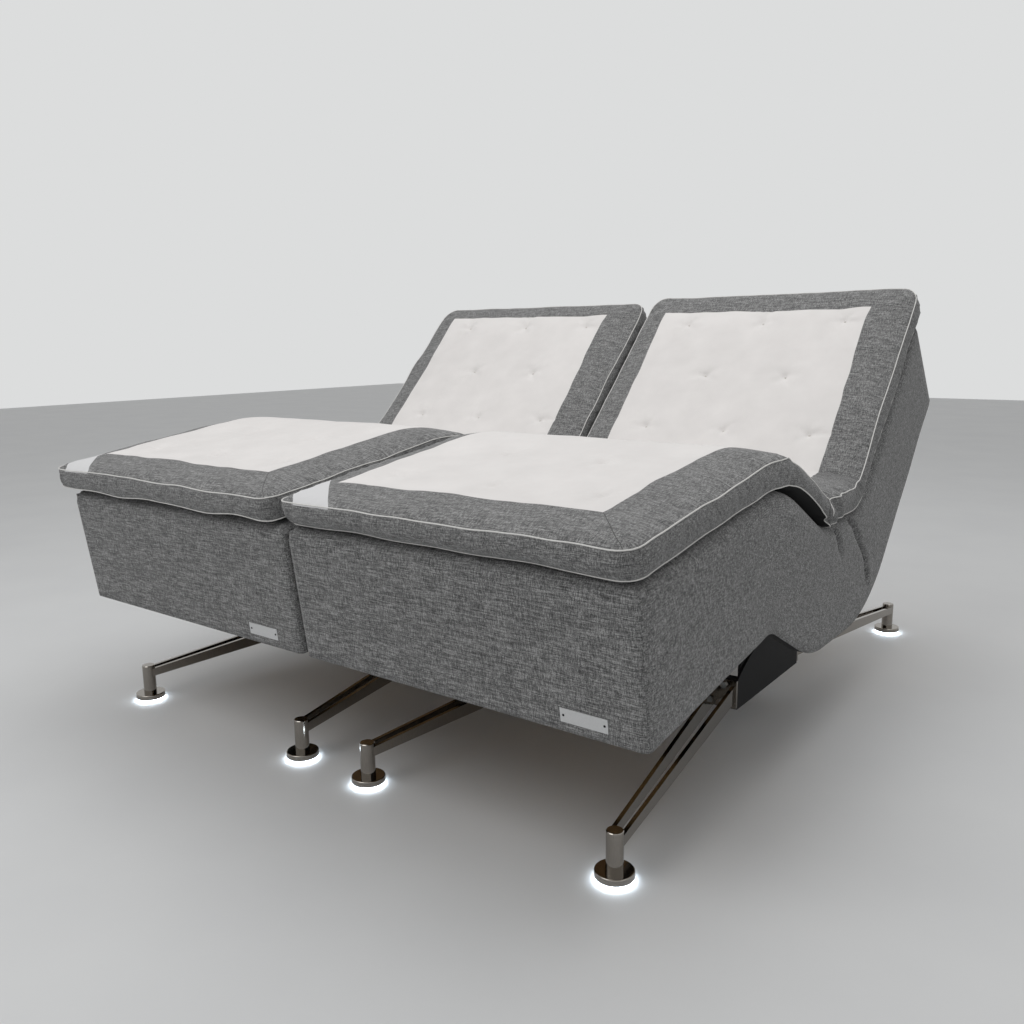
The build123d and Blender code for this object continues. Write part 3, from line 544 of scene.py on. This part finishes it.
# %% [markdown]
# ## The topper
# The topper is a soft pad, closed by a top, a bottom and a band between two pipings, and drawn together
# by tufts. It starts as a thin block. A short cloth simulation blows it up gently while the tufts and the
# piping lines are held, as stuffing does in the real cover. Then the tuft dents and the bunched folds are
# pressed in by moving points, because they are finer than the simulation's grid.

# %% Flat topper
topper_low, topper_high = 0.158, 0.222
piping_inset = 0.004
limit_x, limit_low, limit_high = topper_half - piping_inset, foot_end + piping_inset, head_end - piping_inset
topper_step, topper_layers = 0.0145, 3
corner_round, band_corner_round = 0.045, 0.024
tuft_pitch = 0.26
hair = 1e-5


def piping_line(x, s, z):
    """1 for a point on the upper piping's line, 2 on the lower one's, 0 elsewhere."""
    on_rim = abs(abs(x) - limit_x) < hair or abs(s - limit_low) < hair or abs(s - limit_high) < hair
    if on_rim and abs(z - topper_high) < hair:
        return 1
    return 2 if on_rim and abs(z - topper_low) < hair else 0


topper = even_block(limit_x, limit_low, limit_high, topper_low, topper_high, topper_step, topper_layers)
flat_layer = topper.verts.layers.float_vector.new("flat")
line_layer = topper.verts.layers.int.new("piping")
tufts = []
for s, count, shift in (
    (1.050, 3, 0.0),
    (0.822, 2, 0.012),
    (0.608, 3, 0.016),
    (0.150, 2, 0.0),
    (-0.190, 3, 0.0),
    (-0.495, 2, 0.0),
    (-0.710, 3, 0.0),
):
    tufts += [(shift + (i - (count - 1) / 2) * tuft_pitch, s) for i in range(count)]
for vert in topper.verts:
    x, s, z = vert.co
    vert[line_layer] = piping_line(x, s, z)
    vert[flat_layer] = vert.co
    side, end = limit_x - abs(x), min(s - limit_low, limit_high - s)
    new_side, new_end = round_off(side, end, band_corner_round if x < 0 and s < 0 else corner_round)
    vert.co.x += (side - new_side) * (1 if x > 0 else -1)
    vert.co.y += (new_end - end) * (1 if s < 0 else -1)
print("topper faces", len(topper.faces), "tufts", len(tufts))

# %% Swell the topper
most_swell, swell_frames = 0.006, 20
tuft_hold = 0.012


def swell_topper(bm, most):
    """Swells the flat topper by cloth simulation, each point by at most this. Returns the free swell."""
    mesh = bpy.data.meshes.new("topper_swell")
    bm.to_mesh(mesh)
    pad = bpy.data.objects.new("topper_swell", mesh)
    bpy.context.scene.collection.objects.link(pad)
    start = [v.co.copy() for v in mesh.vertices]
    held = pad.vertex_groups.new(name="held")
    bm.verts.ensure_lookup_table()
    for index, vert in enumerate(bm.verts):
        x, s, z = vert.co
        near = min(hypot(x - tx, s - ts) for tx, ts in tufts)
        if vert[line_layer] or z < topper_low + hair or near < tuft_hold:
            held.add([index], 1.0, "REPLACE")
    cloth = pad.modifiers.new("swell", "CLOTH")
    cloth.settings.quality = 5
    cloth.settings.mass = 0.3
    cloth.settings.tension_stiffness = 12
    cloth.settings.compression_stiffness = 12
    cloth.settings.bending_stiffness = 0.4
    cloth.settings.vertex_group_mass = "held"
    cloth.settings.use_pressure = True
    cloth.settings.uniform_pressure_force = 4
    cloth.settings.shrink_min = -0.015
    cloth.settings.effector_weights.gravity = 0
    for number in range(1, swell_frames + 1):
        bpy.context.scene.frame_set(number)
    seen = pad.evaluated_get(bpy.context.evaluated_depsgraph_get())
    ends = [v.co.copy() for v in seen.data.vertices]
    bpy.context.scene.frame_set(1)
    bpy.data.objects.remove(pad)
    for vert, was, now in zip(bm.verts, start, ends):
        move = now - was
        if move.length > most:
            move *= most / move.length
        vert.co = was + move
    return max((now - was).length for was, now in zip(start, ends))


print("largest swell", round(swell_topper(topper, most_swell), 4))
bmesh.ops.subdivide_edges(topper, edges=topper.edges[:], cuts=1, use_grid_fill=True)
# The underside takes the black lining as painted shade, for the shadow that falls under the topper.
underside = [f for f in topper.faces if all(v[flat_layer].z < topper_low + hair for v in f.verts)]
for face in underside:
    face.material_index = 2
print("topper faces", len(topper.faces), "of them on the underside", len(underside))

# %% Piping lines found again
# A divided edge gets the average of its two ends, so a point on a piping line is found again by its place.
for vert in topper.verts:
    vert[line_layer] = piping_line(*vert[flat_layer])
print("points on piping lines", sum(v[line_layer] > 0 for v in topper.verts))

# %% Dents, waves and folds of the topper
crown_height, crown_reach = 0.016, 0.12
tuft_reach, tuft_depth, tuft_width = 0.16, 0.006, 0.010
dimple_depth, dimple_width = 0.002, 0.050
pucker_depth, pucker_ring, pucker_width = 0.0011, 0.034, 0.022
wave_height, ripple_height = 0.0035, 0.0016
edge_reach, loose_lift, loose_reach = 0.05, 0.009, 0.035
sway_height, sway_across, sway_reach = 0.007, 0.005, 0.06
gather_depth, gather_at, gather_width, gather_reach, pleat = 0.012, 0.060, 0.080, 0.10, 0.0105
fold_depth, fold_at, fold_width, fold_reach = 0.046, 0.040, 0.034, 0.12
bridge_at, bridge_half, bridge_reach = -0.155, 0.17, 0.10
bridge_lift, bridge_slack, bridge_inward = 0.006, 0.018, 0.010
peak_height, peak_at, peak_width, peak_reach = 0.010, -0.300, 0.020, 0.035
pinch_depth, pinch_at, pinch_width, pinch_reach = 0.011, -0.281, 0.011, 0.03
bulge_depth = 0.004
tuck_side, tuck_reach = 0.22, 0.04


def bell(distance, width):
    """A smooth bump that is 1 in its middle and dies away within about two widths."""
    return exp(-((distance / width) ** 2))


def tuft_dent(x, s):
    """Depth of the tuft dents at a point, with the small puckers that ring each tuft."""
    dent = 0.0
    for tx, ts in tufts:
        away = hypot(x - tx, s - ts)
        if away < tuft_reach:
            dent += tuft_depth * bell(away, tuft_width) + dimple_depth * bell(away, dimple_width)
            turn = atan2(s - ts, x - tx)
            dent += pucker_depth * sin(5 * turn + 9 * tx + 7 * ts) * bell(away - pucker_ring, pucker_width)
    return dent


def shape_topper(bm, looseness, tuck, seed):
    """Presses tuft dents, waves and the folds at knee and hip into a flat topper."""
    flat_place = bm.verts.layers.float_vector["flat"]
    for vert in bm.verts:
        fx, fs, fz = vert[flat_place]
        outward = 1 if fx > 0 else -1
        top_share = (fz - topper_low) / (topper_high - topper_low)
        side, end = limit_x - abs(fx), min(fs - limit_low, limit_high - fs)
        rim = min(side, end)
        edge = exp(-rim / edge_reach)
        crown = crown_height * sin(min(max(rim / crown_reach, 0), 1) * pi / 2)
        wave = wave_height * noise.noise(Vector((fx * 5, fs * 5, seed)))
        wave += ripple_height * noise.noise(Vector((fx * 16, fs * 16, seed + 4.6)))
        vert.co.z += top_share * (crown - tuft_dent(fx, fs) + wave)
        vert.co.z += loose_lift * looseness * (1 - top_share) * exp(-rim / loose_reach)
        sway = noise.noise(Vector((fs * 6.5, fx * 6.5, fz * 9 + seed)))
        vert.co.z += sway_height * looseness * edge * sway
        if side < sway_reach:
            vert.co.x += sway_across * edge * noise.noise(Vector((fs * 7.5, 4.2, fz * 14 + seed))) * outward
        gather = bell(fs - gather_at, gather_width) * exp(-side / gather_reach)
        vert.co.x += gather_depth * gather * sin(fs / pleat + 2.4 * top_share) * outward
        fold = bell(fs - fold_at, fold_width) * exp(-side / fold_reach)
        vert.co.z -= fold_depth * fold * (0.25 + 0.75 * top_share)
        bridge = max(cos(min(abs(fs - bridge_at) / bridge_half, 1) * pi / 2), 0) * exp(-side / bridge_reach)
        vert.co.z += bridge * (bridge_lift + bridge_slack * (1 - top_share))
        vert.co.x -= bridge_inward * bridge * top_share * outward
        peak = exp(-abs(fs - peak_at) / peak_width) * exp(-side / peak_reach)
        vert.co.z += peak_height * peak * top_share
        pinch = bell(fs - pinch_at, pinch_width) * exp(-side / pinch_reach)
        vert.co.x -= pinch_depth * pinch * (1 - 0.7 * top_share) * outward
        bulge = 4 * top_share * (1 - top_share) * bulge_depth
        if side < hair:
            vert.co.x += bulge * outward
        if end < hair:
            vert.co.y += bulge * (1 if fs > 0 else -1)
        near_corner = min(max((fx - tuck_side) / tuck_side, 0), 1)
        tucked = (1 - 0.7 * near_corner) * (1 - top_share) ** 3 * exp(-(fs - limit_low) / tuck_reach)
        vert.co.y += tuck * tucked


print("deepest fold", fold_depth, "deepest tuft", tuft_depth + dimple_depth)

# %% [markdown]
# ## Tufts and pipings
# A tuft is a short tie of thread at the bottom of its dent, made as a flattened ball. A piping is a thin
# cord sewn into the seam, so it follows the topper's own edge: its line is read from the mesh after the
# bend, and a round bevel gives it its thickness.

# %% Pipings, ties and the way a topper lies
piping_radius = 0.0015
tie_radius, tie_flatness, tie_lift = 0.0036, 0.55, 0.0012
head_from = 1.10


def lay_piping(bm, name, line):
    """Makes a round piping along one edge line of a laid length of topper."""
    on_line = bm.verts.layers.int["piping"]
    rope = bmesh.new()
    made = {}
    for edge in bm.edges:
        if all(v[on_line] == line for v in edge.verts):
            for vert in edge.verts:
                if vert not in made:
                    made[vert] = rope.verts.new(vert.co)
            rope.edges.new([made[v] for v in edge.verts])
    mesh = bpy.data.meshes.new(name)
    rope.to_mesh(mesh)
    rope.free()
    piece = bpy.data.objects.new(name, mesh)
    bpy.context.scene.collection.objects.link(piece)
    bpy.ops.object.select_all(action="DESELECT")
    piece.select_set(True)
    bpy.context.view_layer.objects.active = piece
    bpy.ops.object.convert(target="CURVE")
    piece.data.bevel_depth = piping_radius
    piece.data.bevel_resolution = 2
    piece.data.use_fill_caps = True
    bpy.ops.object.convert(target="MESH")
    piece.data.name = name
    piece.data.materials.clear()
    piece.data.materials.append(piping_cloth)
    for face in piece.data.polygons:
        face.use_smooth = True
    return piece


def settle(bm, shift, widen, head_reach):
    """Moves a flat topper sideways and pulls it out a little in width and at the head."""
    for vert in bm.verts:
        vert.co.x = shift + widen * vert.co.x
        vert.co.y += head_reach * max(vert.co.y - head_from, 0) / (head_end - head_from)


def add_tie(bm, tx, ts):
    """Ties one tuft: a flattened ball of thread at the bottom of its dent."""
    flat_place = bm.verts.layers.float_vector["flat"]
    tops = [v for v in bm.verts if v[flat_place].z > topper_high - 1e-4]
    nearest = min(tops, key=lambda v: hypot(v.co.x - tx, v.co.y - ts))
    seat = Matrix.Translation((tx, ts, nearest.co.z + tie_lift))
    tie = bmesh.ops.create_uvsphere(bm, u_segments=10, v_segments=6, radius=tie_radius)
    squashed = seat @ Matrix.Diagonal((1, 1, tie_flatness, 1))
    bmesh.ops.transform(bm, matrix=squashed, verts=tie["verts"])
    for face in {f for v in tie["verts"] for f in v.link_faces}:
        face.material_index = 1


print("piping", 2000 * piping_radius, "mm thick")

# %% Topper pieces of both units
topper_solids = {
    "foot": ("{u}_foot_topper",),
    "middle": ("{u}_thigh_topper", "seat_toppers"),
    "back": ("{u}_back_topper",),
}
form = {
    "left": {"looseness": 1.2, "tuck": 0.0, "seed": 3.1},
    "right": {"looseness": 0.6, "tuck": 0.024, "seed": 8.4},
}
place_on_bed = {
    "left": {"shift": -0.026, "widen": 1.028, "head_reach": 0.0},
    "right": {"shift": 0.002, "widen": 0.988, "head_reach": 0.026},
}
for unit, x_middle in units.items():
    unit_topper = topper.copy()
    shape_topper(unit_topper, **form[unit])
    for span, solids in topper_solids.items():
        length = cut_length(unit_topper, span)
        low, high = spans[span][:2]
        for tx, ts in tufts:
            if low < ts < high:
                add_tie(length, tx, ts)
        settle(length, **place_on_bed[unit])
        lay_down(length, x_middle)
        ropes = []
        for line, word in ((1, "upper"), (2, "lower")):
            ropes.append(lay_piping(length, f"{unit}_{word}_piping_{span}", line))
        piece = finish_piece(length, f"{unit}_topper_{span}", [topper_cloth, tuft_thread, lining_and_painted_shade])
        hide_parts(*[n.format(u=unit) for n in solids])
        for made in [piece] + ropes:
            hang(made, unit, span)
        print(piece.name, len(piece.data.polygons), "faces")
    unit_topper.free()
topper.free()

# %% [markdown]
# ## The legs are polished stainless steel: a smooth mirror, slightly warm, with faint lines from the belt. Its colour is darkened as a painted reflection of dark surroundings.
# The legs are polished stainless steel: a smooth mirror, slightly warm, with faint lines from the belt.
# The chassis is powder coated black, which hides fine relief and shines softly. Bolts and rods are zinc
# plated. Metals keep the default IOR; only their colour and roughness change.

# %% Metal finishes
def metal_finish(name, dark, light, rough_low, rough_high, grain):
    """A bare metal whose colour and roughness vary with a grain of this size in millimetres."""
    finish, tree, shader = start_finish(name)
    where = add(tree, "TexCoord").outputs["Object"]
    stretched = (per_mm(grain), per_mm(grain), per_mm(grain * 12))
    placed = add(tree, "Mapping", {"Vector": where, "Scale": stretched})
    lines = add(tree, "TexNoise", {"Vector": placed.outputs[0], "Scale": 1.0, "Detail": 3.0}).outputs["Fac"]
    tone = add(tree, "Mix", {"Factor": lines, "A": linear(dark), "B": linear(light)}, data_type="RGBA")
    rough = add(tree, "MapRange", {"Value": lines, "To Min": rough_low, "To Max": rough_high})
    tree.links.new(tone.outputs["Result"], shader.inputs["Base Color"])
    tree.links.new(rough.outputs[0], shader.inputs["Roughness"])
    shader.inputs["Metallic"].default_value = 1.0
    return finish


def coated_finish(name, dark, light, roughness, grain, relief):
    """A coated, moulded or sawn surface with a fine grain of this size in millimetres."""
    finish, tree, shader = start_finish(name)
    where = add(tree, "TexCoord").outputs["Object"]
    specks = add(tree, "TexNoise", {"Vector": where, "Scale": per_mm(grain), "Detail": 3.0}).outputs["Fac"]
    tone = add(tree, "Mix", {"Factor": specks, "A": linear(dark), "B": linear(light)}, data_type="RGBA")
    bump = add(tree, "Bump", {"Height": specks, "Strength": relief, "Distance": 0.0004})
    tree.links.new(tone.outputs["Result"], shader.inputs["Base Color"])
    tree.links.new(bump.outputs[0], shader.inputs["Normal"])
    shader.inputs["Roughness"].default_value = roughness
    shader.inputs["Specular IOR Level"].default_value = 0.2
    return finish


# The polished steel's dark colours are a painted dark reflection of the surroundings, not the bare steel's
# own colour.
polished_steel = metal_finish("stainless_steel_polished_painted_dark_reflection", "#86817b", "#a39e97", 0.05, 0.16, 1.2)
plate_steel = metal_finish("stainless_steel_brushed_plate", "#c9cacb", "#e2e2e2", 0.28, 0.45, 0.8)
zinc_steel = metal_finish("steel_zinc_plated", "#8f9294", "#b4b6b6", 0.3, 0.5, 2.0)
black_coat = coated_finish("steel_black_powder_coat", "#0f0f10", "#1b1b1d", 0.62, 1.2, 0.3)
drive_plastic = coated_finish("abs_moulded_black", "#141415", "#1e1e20", 0.55, 0.9, 0.25)
glide_rubber = coated_finish("rubber_moulded_black", "#121212", "#1c1c1c", 0.85, 1.5, 0.3)
print("metals and mouldings ready")

# %% [markdown]
# ## Plywood and the lit ring
# The decks are sanded birch plywood, hidden under the covers but seen from below. The ring under each
# foot is a frosted strip with lamps behind it, so it gives off a cool white light.

# %% Plywood and light
plywood, tree, shader = start_finish("birch_plywood_sanded")
where = add(tree, "TexCoord").outputs["Object"]
placed = add(tree, "Mapping", {"Vector": where, "Scale": (per_mm(9), per_mm(110), per_mm(9))})
figure = {"Vector": placed.outputs[0], "Scale": 1.0, "Detail": 4.0, "Distortion": 0.4}
grain = add(tree, "TexNoise", figure).outputs["Fac"]
tone = add(tree, "Mix", {"Factor": grain, "A": linear("#b48d5e"), "B": linear("#d3b285")}, data_type="RGBA")
tree.links.new(tone.outputs["Result"], shader.inputs["Base Color"])
shader.inputs["Roughness"].default_value = 0.65

lit_ring, tree, shader = start_finish("frosted_acrylic_lit")
where = add(tree, "TexCoord").outputs["Object"]
spots = add(tree, "TexNoise", {"Vector": where, "Scale": per_mm(6), "Detail": 1.0}).outputs["Fac"]
glow = add(tree, "Mix", {"Factor": spots, "A": linear("#dcefff"), "B": linear("#f4faff")}, data_type="RGBA")
tree.links.new(glow.outputs["Result"], shader.inputs["Base Color"])
tree.links.new(glow.outputs["Result"], shader.inputs["Emission Color"])
shader.inputs["Emission Strength"].default_value = 9.0
shader.inputs["Roughness"].default_value = 0.4

finish_of = {
    "plywood": plywood,
    "polished_steel": polished_steel,
    "plate_steel": plate_steel,
    "light_ring": lit_ring,
    "glide_rubber": glide_rubber,
    "drive_plastic": drive_plastic,
    "zinc_steel": zinc_steel,
    "black_steel": black_coat,
}
for entry in frame["record"]["subparts"]:
    finish = finish_of.get(entry["material_slot"])
    if finish:
        solid = nodes[entry["node"]]
        solid.data.materials.clear()
        solid.data.materials.append(finish)
print("gave finishes to the CAD nodes")

# %% [markdown]
# ## Screws of the blank plates
# Each foot end has a small blank plate held by two screws. A screw head is a low dome, spun from a short
# arc about the screw's own axis, and seated on the plate.

# %% Plate screws
screw_steel = metal_finish("steel_blackened_screw", "#232325", "#3a3a3c", 0.3, 0.5, 0.8)
screw_apart, screw_radius, screw_rise = 0.088, 0.0026, 0.0012
plate_half_thickness = 0.0007
for unit in units:
    low, high = (Vector(c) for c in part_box(f"{unit}_name_plate"))
    centre = (low + high) / 2
    outward = Vector((0, -cos(slopes["foot"]), -sin(slopes["foot"])))
    screws = bmesh.new()
    for shift in (-screw_apart / 2, screw_apart / 2):
        dome = bmesh.new()
        arc = [i * pi / 8 for i in range(5)]
        points = [dome.verts.new((screw_radius * sin(a), 0, screw_rise * cos(a))) for a in arc]
        edges = [dome.edges.new(pair) for pair in zip(points, points[1:])]
        bmesh.ops.spin(
            dome,
            geom=points + edges,
            cent=(0, 0, 0),
            axis=(0, 0, 1),
            angle=2 * pi,
            steps=16,
            use_merge=True,
            use_duplicate=False,
        )
        bmesh.ops.remove_doubles(dome, verts=dome.verts, dist=1e-6)
        rim = [e for e in dome.edges if e.is_boundary]
        bmesh.ops.holes_fill(dome, edges=rim, sides=0)
        bmesh.ops.recalc_face_normals(dome, faces=dome.faces)
        turn = outward.to_track_quat("Z", "Y").to_matrix().to_4x4()
        seat = centre + Vector((shift, 0, 0)) + outward * plate_half_thickness
        bmesh.ops.transform(dome, matrix=Matrix.Translation(seat) @ turn, verts=dome.verts)
        spare = bpy.data.meshes.new("screw")
        dome.to_mesh(spare)
        dome.free()
        screws.from_mesh(spare)
        bpy.data.meshes.remove(spare)
    piece = finish_piece(screws, f"{unit}_plate_screws", [screw_steel])
    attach(piece, f"{unit}_foot")
    print(piece.name, "seated at", [round(c, 3) for c in centre])

# %% [markdown]
# ## Floor and light
# A plain pale floor takes the shadow and the glow of the feet. Two large soft lamps and an even sky light
# the bed at a plain level. The camera, and the mirrors of the legs, see the sky as a pale wall.

# %% Floor, lamps and sky
floor_bm = bmesh.new()
bmesh.ops.create_grid(floor_bm, x_segments=1, y_segments=1, size=14)
floor_finish, tree, shader = start_finish("pale_sealed_floor")
where = add(tree, "TexCoord").outputs["Object"]
mottle = add(tree, "TexNoise", {"Vector": where, "Scale": per_mm(420), "Detail": 5.0}).outputs["Fac"]
tone = add(tree, "Mix", {"Factor": mottle, "A": linear("#d2d3d4"), "B": linear("#dddede")}, data_type="RGBA")
tree.links.new(tone.outputs["Result"], shader.inputs["Base Color"])
shader.inputs["Roughness"].default_value = 0.55
finish_piece(floor_bm, "floor", [floor_finish], smooth=False)

for name, place, size, power in (("key", (-0.9, -3.2, 3.6), 2.6, 46), ("top", (0.4, 0.4, 4.2), 3.6, 60)):
    lamp_data = bpy.data.lights.new(name, "AREA")
    lamp_data.size = size
    lamp_data.energy = power
    lamp = bpy.data.objects.new(name, lamp_data)
    bpy.context.scene.collection.objects.link(lamp)
    towards_bed = Vector((0, 0, 0.5)) - Vector(place)
    lamp.matrix_world = Matrix.Translation(place) @ towards_bed.to_track_quat("-Z", "Y").to_matrix().to_4x4()

sky = bpy.data.worlds.new("sky")
bpy.context.scene.world = sky
sky.use_nodes = True
tree = sky.node_tree
lit = tree.nodes["Background"]
lit.inputs["Color"].default_value = linear("#ebebeb")
lit.inputs["Strength"].default_value = 0.52
wall_seen = add(tree, "Background", {"Color": linear("#dcdddd"), "Strength": 1.0})
rays = add(tree, "LightPath")
direct = rays.outputs["Is Camera Ray"]
for kind in ("Is Glossy Ray", "Is Transmission Ray"):
    direct = add(tree, "Math", {0: direct, 1: rays.outputs[kind]}, operation="MAXIMUM").outputs[0]
both = add(tree, "MixShader", {0: direct, 1: lit.outputs[0], 2: wall_seen.outputs[0]})
tree.links.new(both.outputs[0], tree.nodes["World Output"].inputs["Surface"])
bpy.context.scene.view_settings.view_transform = "Standard"
print("floor, lamps and sky ready")
